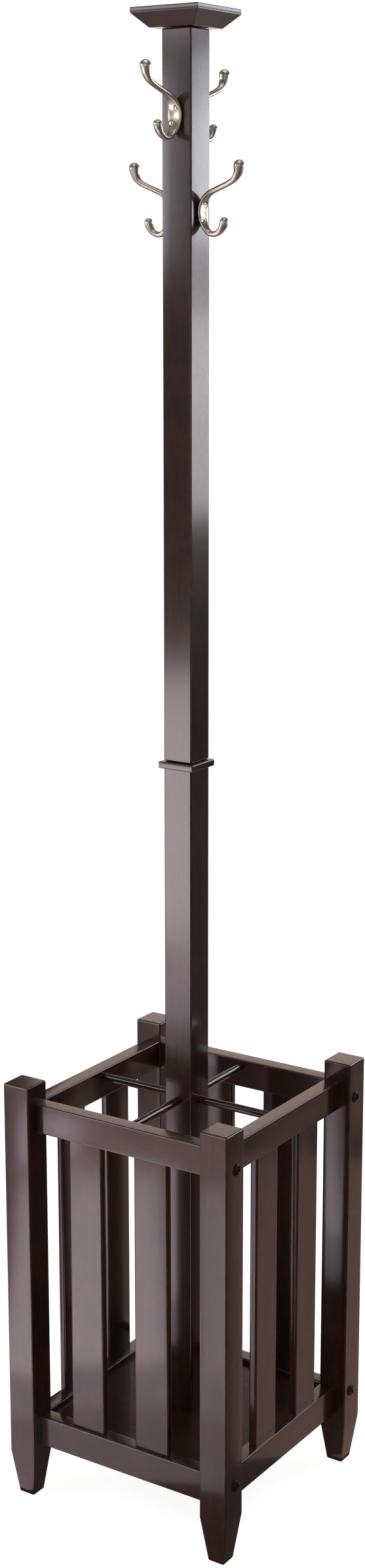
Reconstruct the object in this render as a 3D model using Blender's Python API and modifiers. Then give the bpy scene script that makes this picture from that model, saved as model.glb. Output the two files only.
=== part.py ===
"""Umbrella stand with a coat pole: a slatted square base, a two-piece pole, a cap and four double hooks.

Metres, +Z up. The origin is on the floor at the centre of the base. The front is -Y and the right is +X.
Every piece of wood, hook and fastener is an object of its own, joined to its neighbours the way a joiner
and a hex key would do it: tenons in mortises, rods in blind holes, bolts into threaded inserts.
"""

import math

import bmesh
import bpy
from mathutils import Matrix, Vector

# ---------------------------------------------------------------- driving dimensions

GAP = 0.0003                   # clearance between pieces that touch

BASE_WIDTH = 0.314             # across the outer faces of the legs
LEG_WIDTH = 0.0365
LEG_HEIGHT = 0.536
FOOT_WIDTH = 0.0215            # legs taper to this at the floor
FOOT_HEIGHT = 0.0575
WOOD_EASE = 0.002              # rounding of the edges of the legs and the poles
WOOD_EASE_STEPS = 3

RAIL_THICK = 0.020
RAIL_INSET = 0.0155            # rail face behind the leg face
TOP_RAIL = (0.476, 0.512)      # underside and top
BOTTOM_RAIL = (0.068, 0.106)
RAIL_EASE = 0.0015
TENON_LENGTH = 0.0095
TENON_THICK = 0.008
TENON_HEIGHT = 0.022

SLAT_WIDTH = 0.047
SLAT_THICK = 0.010
SLAT_EASE = 0.0025
SLAT_PITCH = 0.0928            # centre to centre of the two slats of a side
SLAT_TENON = (0.034, 0.005, 0.010)
SLAT_SHIFT = {"front": -0.007, "rear": -0.007, "left": 0.011, "right": 0.011}

FLOOR_TOP = 0.0995
FLOOR_THICK = 0.009
GROOVE_DEPTH = 0.006

POLE_WIDTH = 0.0382
COLLAR_WIDTH = 0.0476
COLLAR = (0.9097, 0.918)
CAP_BOTTOM = 1.7294
CAP_RIM = 1.7443
CAP_TOP = 1.750
CAP_BOTTOM_WIDTH = 0.058
CAP_TOP_WIDTH = 0.0875

ROD_RADIUS = 0.005
ROD_HEIGHT = 0.5025
ROD_SOCKET = 0.008

BOLT_OFFSET = 0.1355           # bolt axis from the centre plane of the base
BOLT_HEIGHTS = {"upper": 0.491, "lower": 0.099}
BOLT_RADIUS = 0.003
BOLT_LENGTH = 0.045
BOLT_HEAD_RADIUS = 0.007
BOLT_HEAD_HEIGHT = 0.0032
HEX_ACROSS_FLATS = 0.004
HEX_DEPTH = 0.0021
INSERT_RADIUS = 0.00425
INSERT_LENGTH = 0.012

STUD_RADIUS = 0.004
STUD_LENGTH = 0.060
DOWEL_RADIUS = 0.005
DOWEL_IN_POLE = 0.020
DOWEL_IN_CAP = 0.012
BASE_SCREW_LENGTH = 0.045
BASE_SCREW_RADIUS = 0.0025
BASE_SCREW_HEAD_RADIUS = 0.0048

HOOK_LOW_POINT = {"front": 1.611, "rear": 1.611, "left": 1.5095, "right": 1.5095}
HOOK_SCREW_PLACES = {"upper": (0.0034, 0.0342), "lower": (-0.0034, 0.0184)}
HOOK_SCREW_SEAT = 0.0042       # top of the screw head out from the pole
HOOK_SCREW_LENGTH = 0.016
HOOK_SCREW_RADIUS = 0.00175
HOOK_SCREW_HEAD_RADIUS = 0.0032
HOOK_SCREW_HEAD_DEPTH = 0.0022
HOOK_ROOT = 0.005              # the arms are stretched beyond this distance from the pole
HOOK_REACH = {"front": 1.09, "rear": 1.09, "left": 0.91, "right": 0.91}    # by this much

# The hook's centre line from the upper tip to the lower tip. Each station holds its distance out from
# the pole, its height over the hook's lowest point, its thickness in the hook's plane, its width
# across, and how far its outer face is dished, all in millimetres.
HOOK_STATIONS = (
    (54.6, 80.6, 4.6, 5.0, 0.0),
    (54.5, 78.4, 10.2, 10.8, 0.0),
    (54.2, 74.6, 12.2, 12.8, 0.0),
    (52.6, 67.6, 9.4, 10.2, 0.0),
    (47.6, 61.0, 6.8, 8.2, 0.0),
    (38.0, 56.2, 5.9, 7.4, 0.0),
    (25.0, 51.6, 5.8, 7.6, 0.0),
    (12.6, 46.6, 6.2, 9.6, 0.3),
    (5.0, 39.0, 6.4, 14.4, 1.2),
    (2.7, 27.0, 5.6, 18.4, 1.7),
    (4.4, 14.6, 6.2, 14.4, 1.2),
    (10.2, 5.8, 6.2, 9.8, 0.3),
    (18.6, 3.1, 6.2, 8.4, 0.0),
    (27.4, 6.2, 6.8, 8.6, 0.0),
    (32.4, 12.8, 9.2, 9.8, 0.0),
    (33.5, 17.6, 9.0, 9.6, 0.0),
    (33.7, 19.8, 4.2, 4.6, 0.0),
)
HOOK_RING = 12                 # points round the hook's section
HOOK_STEPS = 2                 # rings from one station to the next

# ---------------------------------------------------------------- derived dimensions

LEG_OUTER = BASE_WIDTH / 2
LEG_CENTRE = LEG_OUTER - LEG_WIDTH / 2
LEG_INNER = LEG_OUTER - LEG_WIDTH
RAIL_OUTER = LEG_OUTER - RAIL_INSET
RAIL_INNER = RAIL_OUTER - RAIL_THICK
RAIL_CENTRE = (RAIL_OUTER + RAIL_INNER) / 2
RAIL_LENGTH = 2 * (LEG_INNER - GAP)
POLE_FACE = POLE_WIDTH / 2
FLOOR_BOTTOM = FLOOR_TOP - FLOOR_THICK
POLE_BOTTOM = FLOOR_TOP + GAP
MIDDLE = (0.0, 0.0)

SIDES = {"front": 0, "right": 90, "rear": 180, "left": 270}
RAIL_LEVELS = {"bottom": BOTTOM_RAIL, "top": TOP_RAIL}
ROWS = {"front": -1, "rear": 1}
COLUMNS = {"left": -1, "right": 1}

# ---------------------------------------------------------------- scene and materials


def clear_scene():
    for obj in list(bpy.data.objects):
        bpy.data.objects.remove(obj, do_unlink=True)
    for collection in list(bpy.data.collections):
        bpy.data.collections.remove(collection)


def new_collection(name):
    collection = bpy.data.collections.new(name)
    bpy.context.scene.collection.children.link(collection)
    return collection


def new_material(name, colour, roughness, metallic):
    material = bpy.data.materials.new(name)
    material.use_nodes = True
    shader = material.node_tree.nodes["Principled BSDF"]
    shader.inputs["Base Color"].default_value = (*colour, 1.0)
    shader.inputs["Roughness"].default_value = roughness
    shader.inputs["Metallic"].default_value = metallic
    return material


clear_scene()
PARTS = new_collection("umbrella_stand")
CUTTERS = new_collection("cutters")
ESPRESSO = new_material("espresso_wood", (0.045, 0.027, 0.023), 0.32, 0.0)
NICKEL = new_material("satin_nickel", (0.56, 0.50, 0.43), 0.25, 1.0)
BLACK_STEEL = new_material("black_steel", (0.02, 0.02, 0.022), 0.30, 1.0)
ZINC = new_material("zinc_steel", (0.55, 0.55, 0.53), 0.35, 1.0)

# ---------------------------------------------------------------- modelling helpers


def new_object(name, mesh, collection=PARTS, parent=None, location=(0, 0, 0), rotation=(0, 0, 0)):
    obj = bpy.data.objects.new(name, mesh)
    collection.objects.link(obj)
    obj.parent = parent
    obj.location = location
    obj.rotation_euler = rotation
    return obj


def add_box(bm, low, high):
    """A cuboid between two corners; returns its vertices."""
    size = Vector(high) - Vector(low)
    centre = (Vector(high) + Vector(low)) / 2
    shape = Matrix.Translation(centre) @ Matrix.Diagonal((*size, 1.0))
    return bmesh.ops.create_cube(bm, size=1.0, matrix=shape)["verts"]


def add_cylinder(bm, start, end, radius, segments=16, end_radius=None):
    """A round bar, or a cone where end_radius differs, from one point to another."""
    axis = Vector(end) - Vector(start)
    turn = axis.to_track_quat("Z", "Y").to_matrix().to_4x4()
    place = Matrix.Translation((Vector(start) + Vector(end)) / 2) @ turn
    far_radius = radius if end_radius is None else end_radius
    bmesh.ops.create_cone(bm, cap_ends=True, segments=segments, radius1=radius, radius2=far_radius,
                          depth=axis.length, matrix=place)


def mesh_from(name, bm, material=None):
    bmesh.ops.recalc_face_normals(bm, faces=bm.faces)
    mesh = bpy.data.meshes.new(name)
    bm.to_mesh(mesh)
    bm.free()
    if material is not None:
        mesh.materials.append(material)
    return mesh


def helper_object(name, bm, parent=None):
    """A hidden solid that cuts or extends a piece."""
    obj = new_object(name, mesh_from(name, bm), CUTTERS, parent)
    obj.hide_render = True
    obj.display_type = "WIRE"
    return obj


def ease_long_edges(obj, axis, width, segments=2):
    """Round the edges that run along one axis and leave the ends square."""
    mesh = obj.data
    weights = mesh.attributes.new("bevel_weight_edge", "FLOAT", "EDGE")
    for edge in mesh.edges:
        run = mesh.vertices[edge.vertices[1]].co - mesh.vertices[edge.vertices[0]].co
        weights.data[edge.index].value = 1.0 if abs(run[axis]) > 0.9 * run.length else 0.0
    bevel = obj.modifiers.new("eased_edges", "BEVEL")
    bevel.limit_method = "WEIGHT"
    bevel.width = width
    bevel.segments = segments


def ease_all_edges(obj, width, segments=2, sharper_than=30):
    bevel = obj.modifiers.new("eased_edges", "BEVEL")
    bevel.limit_method = "ANGLE"
    bevel.angle_limit = math.radians(sharper_than)
    bevel.width = width
    bevel.segments = segments


def combine(obj, helper, operation):
    boolean = obj.modifiers.new(operation.lower(), "BOOLEAN")
    boolean.operation = operation
    boolean.solver = "EXACT"
    boolean.object = helper


def shade(mesh, angle=35):
    mesh.shade_smooth()
    mesh.set_sharp_from_angle(angle=math.radians(angle))


def frozen_mesh(obj, material):
    """The finished mesh of a pattern piece, for copies to share. The pattern is removed."""
    bpy.context.view_layer.update()
    evaluated = obj.evaluated_get(bpy.context.evaluated_depsgraph_get())
    mesh = bpy.data.meshes.new_from_object(evaluated)
    bm = bmesh.new()
    bm.from_mesh(mesh)
    bmesh.ops.recalc_face_normals(bm, faces=bm.faces)
    bm.to_mesh(mesh)
    bm.free()
    mesh.materials.clear()
    mesh.materials.append(material)
    shade(mesh)
    bpy.data.objects.remove(obj, do_unlink=True)
    return mesh


def turned_pattern(name, profile, segments=16):
    """A solid of revolution about Z from (radius, height) points that run from top to bottom."""
    mesh = bpy.data.meshes.new(name)
    points = [(radius, 0.0, height) for radius, height in profile]
    edges = [(i, i + 1) for i in range(len(points) - 1)]
    if profile[0][0] > 0.0:
        edges.append((len(points) - 1, 0))
    mesh.from_pydata(points, edges, [])
    obj = new_object(name, mesh)
    screw = obj.modifiers.new("turned", "SCREW")
    screw.axis = "Z"
    screw.angle = math.tau
    screw.steps = segments
    screw.render_steps = segments
    screw.use_merge_vertices = True
    screw.merge_threshold = 0.00005
    screw.use_normal_calculate = True
    return obj


def side_frame(name, degrees):
    """An empty at the base's centre whose own -Y looks out of one side."""
    frame = bpy.data.objects.new("side_" + name, None)
    PARTS.objects.link(frame)
    frame.parent = STAND
    frame.rotation_euler = (0, 0, math.radians(degrees))
    return frame


# ---------------------------------------------------------------- legs


def build_leg(row, column):
    """A square leg, tapered at the foot, with bolt holes through it and mortises for the side rails."""
    x_sign = COLUMNS[column]
    y_sign = ROWS[row]
    bm = bmesh.new()
    half = LEG_WIDTH / 2
    add_box(bm, (-half, -half, 0), (half, half, LEG_HEIGHT))
    geometry = bm.verts[:] + bm.edges[:] + bm.faces[:]
    bmesh.ops.bisect_plane(bm, geom=geometry, plane_co=(0, 0, FOOT_HEIGHT), plane_no=(0, 0, 1))
    for vert in bm.verts:
        if vert.co.z < FOOT_HEIGHT / 2:
            vert.co.x *= FOOT_WIDTH / LEG_WIDTH
            vert.co.y *= FOOT_WIDTH / LEG_WIDTH
    name = f"leg_{row}_{column}"
    leg = new_object(name, mesh_from(name, bm, ESPRESSO), parent=STAND,
                     location=(x_sign * LEG_CENTRE, y_sign * LEG_CENTRE, 0))
    ease_all_edges(leg, WOOD_EASE, WOOD_EASE_STEPS)

    holes = bmesh.new()
    for height in BOLT_HEIGHTS.values():
        y = y_sign * BOLT_OFFSET
        add_cylinder(holes, (x_sign * (LEG_INNER - 0.01), y, height),
                     (x_sign * (LEG_OUTER + 0.01), y, height), BOLT_RADIUS + GAP, 12)
    for low, high in RAIL_LEVELS.values():
        middle = (low + high) / 2
        near = y_sign * (LEG_INNER - 0.005)
        far = y_sign * (LEG_INNER + TENON_LENGTH + GAP)
        half_thick = TENON_THICK / 2 + GAP
        half_height = TENON_HEIGHT / 2 + GAP
        add_box(holes, (x_sign * RAIL_CENTRE - half_thick, min(near, far), middle - half_height),
                (x_sign * RAIL_CENTRE + half_thick, max(near, far), middle + half_height))
    combine(leg, helper_object(name + "_holes", holes, STAND), "DIFFERENCE")


# ---------------------------------------------------------------- rails and slats


def slat_centres(side):
    return [SLAT_SHIFT[side] + step * SLAT_PITCH for step in (-0.5, 0.5)]


def build_rail(side, level, frame):
    """A rail of one side. Left and right rails end in tenons; front and rear rails butt and are bolted."""
    low, high = RAIL_LEVELS[level]
    middle = (low + high) / 2
    tenoned = side in ("left", "right")
    name = f"{level}_rail_{side}"
    bm = bmesh.new()
    half = RAIL_LENGTH / 2
    add_box(bm, (-half, -RAIL_OUTER, low), (half, -RAIL_INNER, high))
    rail = new_object(name, mesh_from(name, bm, ESPRESSO), parent=frame)
    ease_long_edges(rail, 0, RAIL_EASE)

    if tenoned:
        core = bmesh.new()
        reach = half + GAP + TENON_LENGTH
        for end in (-1, 1):
            span = sorted((end * (half - 0.003), end * reach))
            add_box(core, (span[0], -RAIL_CENTRE - TENON_THICK / 2, middle - TENON_HEIGHT / 2),
                    (span[1], -RAIL_CENTRE + TENON_THICK / 2, middle + TENON_HEIGHT / 2))
        combine(rail, helper_object(name + "_tenons", core, frame), "UNION")

    cuts = bmesh.new()
    tenon_width, tenon_thick, tenon_length = SLAT_TENON
    mortise_half = Vector((tenon_width / 2 + GAP, tenon_thick / 2 + GAP, 0))
    for x in slat_centres(side):
        centre = Vector((x, -RAIL_CENTRE, 0))
        if level == "top":
            span = (low - 0.005, low + tenon_length + 2 * GAP)
        else:
            span = (high - tenon_length - 2 * GAP, high + 0.005)
        add_box(cuts, centre - mortise_half + Vector((0, 0, span[0])),
                centre + mortise_half + Vector((0, 0, span[1])))
    if level == "bottom":
        add_box(cuts, (-half - 0.02, -RAIL_INNER - GROOVE_DEPTH, FLOOR_BOTTOM - GAP),
                (half + 0.02, -RAIL_INNER + 0.005, FLOOR_TOP + GAP))
    else:
        add_cylinder(cuts, (0, -RAIL_INNER - ROD_SOCKET - GAP, ROD_HEIGHT),
                     (0, -RAIL_INNER + 0.01, ROD_HEIGHT), ROD_RADIUS + GAP)
    if not tenoned:
        height = BOLT_HEIGHTS["upper" if level == "top" else "lower"]
        for end in (-1, 1):
            deepest = end * (half - INSERT_LENGTH - 2 * GAP)
            add_cylinder(cuts, (end * (half + 0.01), -BOLT_OFFSET, height),
                         (deepest, -BOLT_OFFSET, height), INSERT_RADIUS + GAP, 12)
    combine(rail, helper_object(name + "_cuts", cuts, frame), "DIFFERENCE")


def slat_mesh():
    """A flat slat with rounded edges, and a short tenon at each end."""
    low = BOTTOM_RAIL[1] + GAP
    high = TOP_RAIL[0] - GAP
    tenon_width, tenon_thick, tenon_length = SLAT_TENON
    bm = bmesh.new()
    add_box(bm, (-SLAT_WIDTH / 2, -SLAT_THICK / 2, low), (SLAT_WIDTH / 2, SLAT_THICK / 2, high))
    slat = new_object("slat_pattern", mesh_from("slat", bm))
    ease_long_edges(slat, 2, SLAT_EASE, 3)
    core = bmesh.new()
    for start, end in ((low - tenon_length, low + 0.003), (high - 0.003, high + tenon_length)):
        add_box(core, (-tenon_width / 2, -tenon_thick / 2, start), (tenon_width / 2, tenon_thick / 2, end))
    tenons = helper_object("slat_tenons", core)
    combine(slat, tenons, "UNION")
    mesh = frozen_mesh(slat, ESPRESSO)
    bpy.data.objects.remove(tenons, do_unlink=True)
    return mesh


# ---------------------------------------------------------------- floor, pole, collar and cap


def build_floor():
    """A thin panel that sits in the bottom rails' grooves, notched round the legs."""
    reach = RAIL_INNER + GROOVE_DEPTH - GAP
    bm = bmesh.new()
    add_box(bm, (-reach, -reach, FLOOR_BOTTOM), (reach, reach, FLOOR_TOP))
    floor = new_object("floor_panel", mesh_from("floor_panel", bm, ESPRESSO), parent=STAND)
    cuts = bmesh.new()
    notch = LEG_INNER - 2 * GAP
    for x_sign in (-1, 1):
        for y_sign in (-1, 1):
            xs = sorted((x_sign * notch, x_sign * (reach + 0.01)))
            ys = sorted((y_sign * notch, y_sign * (reach + 0.01)))
            add_box(cuts, (xs[0], ys[0], FLOOR_BOTTOM - 0.01), (xs[1], ys[1], FLOOR_TOP + 0.01))
    head_depth = BASE_SCREW_HEAD_RADIUS - BASE_SCREW_RADIUS
    add_cylinder(cuts, (*MIDDLE, FLOOR_BOTTOM - 0.002), (*MIDDLE, FLOOR_BOTTOM + head_depth + GAP),
                 BASE_SCREW_HEAD_RADIUS + 0.002 + GAP, 16, BASE_SCREW_RADIUS + GAP)
    combine(floor, helper_object("floor_panel_cuts", cuts, STAND), "DIFFERENCE")
    bore = bmesh.new()
    add_cylinder(bore, (*MIDDLE, FLOOR_BOTTOM - 0.01), (*MIDDLE, FLOOR_TOP + 0.01),
                 BASE_SCREW_RADIUS + GAP)
    combine(floor, helper_object("floor_panel_bore", bore, STAND), "DIFFERENCE")


def pole_bar(name, low, high):
    bm = bmesh.new()
    add_box(bm, (-POLE_FACE, -POLE_FACE, low), (POLE_FACE, POLE_FACE, high))
    return new_object(name, mesh_from(name, bm, ESPRESSO), parent=STAND)


def build_lower_pole():
    """Stands on the floor panel, is braced by the four rods and takes the stud at its top."""
    top = COLLAR[0] - GAP
    pole = pole_bar("lower_pole", POLE_BOTTOM, top)
    ease_long_edges(pole, 2, WOOD_EASE, WOOD_EASE_STEPS)
    cuts = bmesh.new()
    for x_out, y_out in ((1, 0), (-1, 0), (0, 1), (0, -1)):
        inner = POLE_FACE - ROD_SOCKET - GAP
        outer = POLE_FACE + 0.01
        add_cylinder(cuts, (x_out * inner, y_out * inner, ROD_HEIGHT),
                     (x_out * outer, y_out * outer, ROD_HEIGHT), ROD_RADIUS + GAP)
    add_cylinder(cuts, (*MIDDLE, COLLAR[0] - STUD_LENGTH / 2 - GAP), (*MIDDLE, top + 0.01),
                 STUD_RADIUS + GAP)
    add_cylinder(cuts, (*MIDDLE, POLE_BOTTOM - 0.01), (*MIDDLE, FLOOR_BOTTOM + BASE_SCREW_LENGTH + GAP),
                 BASE_SCREW_RADIUS + GAP, 12)
    combine(pole, helper_object("lower_pole_cuts", cuts, STAND), "DIFFERENCE")


def build_upper_pole():
    """Screws down on the stud through the collar, with rounded ends, and carries the hooks and the cap."""
    bottom = COLLAR[1] + GAP
    top = CAP_BOTTOM - GAP
    pole = pole_bar("upper_pole", bottom, top)
    ease_all_edges(pole, WOOD_EASE, WOOD_EASE_STEPS)
    cuts = bmesh.new()
    add_cylinder(cuts, (*MIDDLE, bottom - 0.01), (*MIDDLE, COLLAR[1] + STUD_LENGTH / 2 + GAP),
                 STUD_RADIUS + GAP)
    add_cylinder(cuts, (*MIDDLE, CAP_BOTTOM - DOWEL_IN_POLE - GAP), (*MIDDLE, top + 0.01),
                 DOWEL_RADIUS + GAP)
    for side, degrees in SIDES.items():
        turn = Matrix.Rotation(math.radians(degrees), 3, "Z")
        for across, up in HOOK_SCREW_PLACES.values():
            height = HOOK_LOW_POINT[side] + up
            depth = HOOK_SCREW_LENGTH - HOOK_SCREW_SEAT + GAP
            add_cylinder(cuts, turn @ Vector((across, -POLE_FACE - 0.005, height)),
                         turn @ Vector((across, -POLE_FACE + depth, height)), HOOK_SCREW_RADIUS + GAP, 10)
    combine(pole, helper_object("upper_pole_cuts", cuts, STAND), "DIFFERENCE")


def build_collar():
    bm = bmesh.new()
    half = COLLAR_WIDTH / 2
    add_box(bm, (-half, -half, COLLAR[0]), (half, half, COLLAR[1]))
    collar = new_object("pole_collar", mesh_from("pole_collar", bm, ESPRESSO), parent=STAND)
    ease_all_edges(collar, 0.0015)
    bore = bmesh.new()
    add_cylinder(bore, (*MIDDLE, COLLAR[0] - 0.01), (*MIDDLE, COLLAR[1] + 0.01), STUD_RADIUS + GAP)
    combine(collar, helper_object("pole_collar_bore", bore, STAND), "DIFFERENCE")


def build_cap():
    """An upturned, cut-off pyramid with a short upright rim."""
    bm = bmesh.new()
    half = CAP_TOP_WIDTH / 2
    add_box(bm, (-half, -half, CAP_BOTTOM), (half, half, CAP_TOP))
    geometry = bm.verts[:] + bm.edges[:] + bm.faces[:]
    bmesh.ops.bisect_plane(bm, geom=geometry, plane_co=(0, 0, CAP_RIM), plane_no=(0, 0, 1))
    for vert in bm.verts:
        if vert.co.z < (CAP_BOTTOM + CAP_RIM) / 2:
            vert.co.x *= CAP_BOTTOM_WIDTH / CAP_TOP_WIDTH
            vert.co.y *= CAP_BOTTOM_WIDTH / CAP_TOP_WIDTH
    cap = new_object("cap", mesh_from("cap", bm, ESPRESSO), parent=STAND)
    ease_all_edges(cap, 0.0007, 2, 25)
    bore = bmesh.new()
    add_cylinder(bore, (*MIDDLE, CAP_BOTTOM - 0.01), (*MIDDLE, CAP_BOTTOM + DOWEL_IN_CAP + GAP),
                 DOWEL_RADIUS + GAP)
    combine(cap, helper_object("cap_bore", bore, STAND), "DIFFERENCE")


def build_round_bar(name, start, end, radius, material, parent, ease):
    """A dowel, rod or stud with slightly rounded ends."""
    bm = bmesh.new()
    add_cylinder(bm, start, end, radius)
    bar = new_object(name, mesh_from(name, bm, material), parent=parent)
    ease_all_edges(bar, ease, 1, 60)
    shade(bar.data)
    return bar


def build_pole_fasteners():
    build_round_bar("pole_stud", (*MIDDLE, COLLAR[0] - STUD_LENGTH / 2),
                    (*MIDDLE, COLLAR[1] + STUD_LENGTH / 2), STUD_RADIUS, ZINC, STAND, 0.0008)
    build_round_bar("cap_dowel", (*MIDDLE, CAP_BOTTOM - DOWEL_IN_POLE),
                    (*MIDDLE, CAP_BOTTOM + DOWEL_IN_CAP), DOWEL_RADIUS, ESPRESSO, STAND, 0.0008)
    slope = BASE_SCREW_HEAD_RADIUS - BASE_SCREW_RADIUS
    tip = 0.006
    profile = ((0.0, BASE_SCREW_LENGTH),
               (BASE_SCREW_RADIUS, BASE_SCREW_LENGTH - tip),
               (BASE_SCREW_RADIUS, slope),
               (BASE_SCREW_HEAD_RADIUS, 0.0),
               (0.0, 0.0))
    mesh = frozen_mesh(turned_pattern("base_screw_pattern", profile, 12), ZINC)
    new_object("pole_base_screw", mesh, parent=STAND, location=(*MIDDLE, FLOOR_BOTTOM))


# ---------------------------------------------------------------- frame bolts and inserts


def bolt_mesh():
    """A button-head bolt along Z, its head above zero and its shank below, with a hex socket."""
    edge = 0.0006
    rim = BOLT_HEAD_RADIUS
    dome = [(rim * math.sin(angle), edge + (BOLT_HEAD_HEIGHT - edge) * math.cos(angle))
            for angle in (math.radians(degrees) for degrees in (25, 45, 65, 80))]
    profile = [(0.0, dome[0][1])] + dome + [
        (rim, edge), (rim, 0.0), (BOLT_RADIUS, 0.0), (BOLT_RADIUS, -BOLT_LENGTH), (0.0, -BOLT_LENGTH)]
    bolt = turned_pattern("bolt_pattern", profile)
    hexagon = bmesh.new()
    add_cylinder(hexagon, (0, 0, BOLT_HEAD_HEIGHT - HEX_DEPTH), (0, 0, BOLT_HEAD_HEIGHT + 0.005),
                 HEX_ACROSS_FLATS / math.sqrt(3), 6)
    socket = helper_object("bolt_socket", hexagon)
    combine(bolt, socket, "DIFFERENCE")
    mesh = frozen_mesh(bolt, BLACK_STEEL)
    bpy.data.objects.remove(socket, do_unlink=True)
    return mesh


def insert_mesh():
    """A threaded insert along Z: a plain tube of the insert's outer and inner size."""
    bore = BOLT_RADIUS + GAP
    profile = ((bore, 0.0), (INSERT_RADIUS, 0.0), (INSERT_RADIUS, -INSERT_LENGTH), (bore, -INSERT_LENGTH))
    return frozen_mesh(turned_pattern("insert_pattern", profile, 12), ZINC)


def build_frame_bolts():
    bolt = bolt_mesh()
    insert = insert_mesh()
    for row, y_sign in ROWS.items():
        for column, x_sign in COLUMNS.items():
            for level, height in BOLT_HEIGHTS.items():
                outward = (0, x_sign * math.pi / 2, 0)
                y = y_sign * BOLT_OFFSET
                new_object(f"frame_bolt_{row}_{column}_{level}", bolt, parent=STAND,
                           location=(x_sign * (LEG_OUTER + GAP), y, height), rotation=outward)
                new_object(f"frame_insert_{row}_{column}_{level}", insert, parent=STAND,
                           location=(x_sign * (RAIL_LENGTH / 2 - GAP), y, height), rotation=outward)


# ---------------------------------------------------------------- hooks


def smooth_between(before, start, end, after, share):
    """Catmull-Rom value at a share of the way from start to end."""
    slope_in = (end - before) / 2
    slope_out = (after - start) / 2
    square = share * share
    cube = square * share
    return ((2 * cube - 3 * square + 1) * start + (cube - 2 * square + share) * slope_in
            + (3 * square - 2 * cube) * end + (cube - square) * slope_out)


def hook_rings(reach):
    """Stations along the hook, with the ones between filled in on a smooth curve."""
    stations = [Vector(station) / 1000 for station in HOOK_STATIONS]
    for station in stations:
        station[0] += max(0.0, station[0] - HOOK_ROOT) * (reach - 1.0)
    last = len(stations) - 1
    rings = []
    for index in range(last):
        before = stations[max(index - 1, 0)]
        start, end = stations[index:index + 2]
        after = stations[min(index + 2, last)]
        for step in range(HOOK_STEPS):
            rings.append(smooth_between(before, start, end, after, step / HOOK_STEPS))
    rings.append(stations[last])
    return rings


def hook_mesh(reach):
    """A cast double hook on the pole's -Y face, lofted through oval sections, flat where it is mounted."""
    rings = hook_rings(reach)
    bm = bmesh.new()
    loops = []
    for index, ring in enumerate(rings):
        out, up, thick, width, dish = ring
        before = rings[max(index - 1, 0)]
        after = rings[min(index + 1, len(rings) - 1)]
        run = Vector((after[0] - before[0], after[1] - before[1])).normalized()
        normal = Vector((-run.y, run.x))
        loop = []
        for point in range(HOOK_RING):
            angle = math.tau * (point + 0.5) / HOOK_RING
            across = width / 2 * math.cos(angle)
            offset = thick / 2 * math.sin(angle)
            if offset > 0.0:
                offset -= dish * max(0.0, 1.0 - (across / (0.36 * width)) ** 2)
            out_here = max(out + normal.x * offset, GAP)
            loop.append(bm.verts.new((across, -POLE_FACE - out_here, up + normal.y * offset)))
        loops.append(loop)
    for ring, following in zip(loops, loops[1:]):
        for point in range(HOOK_RING):
            other = (point + 1) % HOOK_RING
            bm.faces.new((ring[point], ring[other], following[other], following[point]))
    bm.faces.new(loops[0])
    bm.faces.new(loops[-1])
    hook = new_object("hook_pattern", mesh_from("hook", bm))

    seats = bmesh.new()
    for across, up in HOOK_SCREW_PLACES.values():
        seat = -POLE_FACE - HOOK_SCREW_SEAT
        wide = HOOK_SCREW_HEAD_RADIUS + GAP
        narrow = HOOK_SCREW_RADIUS + GAP
        add_turned_seat(seats, across, up, seat, wide, narrow)
    cutter = helper_object("hook_seats", seats)
    combine(hook, cutter, "DIFFERENCE")
    mesh = frozen_mesh(hook, NICKEL)
    bpy.data.objects.remove(cutter, do_unlink=True)
    return mesh


def add_turned_seat(bm, across, up, seat, wide, narrow, segments=12):
    """A countersunk screw hole along Y as one closed cutter."""
    stops = ((seat - 0.006, wide), (seat - GAP, wide), (seat + HOOK_SCREW_HEAD_DEPTH, narrow),
             (-POLE_FACE + 0.002, narrow))
    turns = [math.tau * i / segments for i in range(segments)]
    loops = []
    for y, radius in stops:
        circle = [(across + radius * math.cos(turn), y, up + radius * math.sin(turn)) for turn in turns]
        loops.append([bm.verts.new(point) for point in circle])
    for ring, following in zip(loops, loops[1:]):
        for i in range(segments):
            j = (i + 1) % segments
            bm.faces.new((ring[i], ring[j], following[j], following[i]))
    bm.faces.new(loops[0])
    bm.faces.new(loops[-1])


def hook_screw_mesh():
    """A countersunk wood screw along Z with the flat of its head at zero."""
    tip = 0.003
    profile = ((0.0, 0.0),
               (HOOK_SCREW_HEAD_RADIUS, 0.0),
               (HOOK_SCREW_RADIUS, -HOOK_SCREW_HEAD_DEPTH),
               (HOOK_SCREW_RADIUS, tip - HOOK_SCREW_LENGTH),
               (0.0, -HOOK_SCREW_LENGTH))
    return frozen_mesh(turned_pattern("hook_screw_pattern", profile, 12), NICKEL)


# ---------------------------------------------------------------- the whole stand

STAND = bpy.data.objects.new("stand_origin", None)
PARTS.objects.link(STAND)
FRAMES = {name: side_frame(name, degrees) for name, degrees in SIDES.items()}

for row in ROWS:
    for column in COLUMNS:
        build_leg(row, column)

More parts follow.
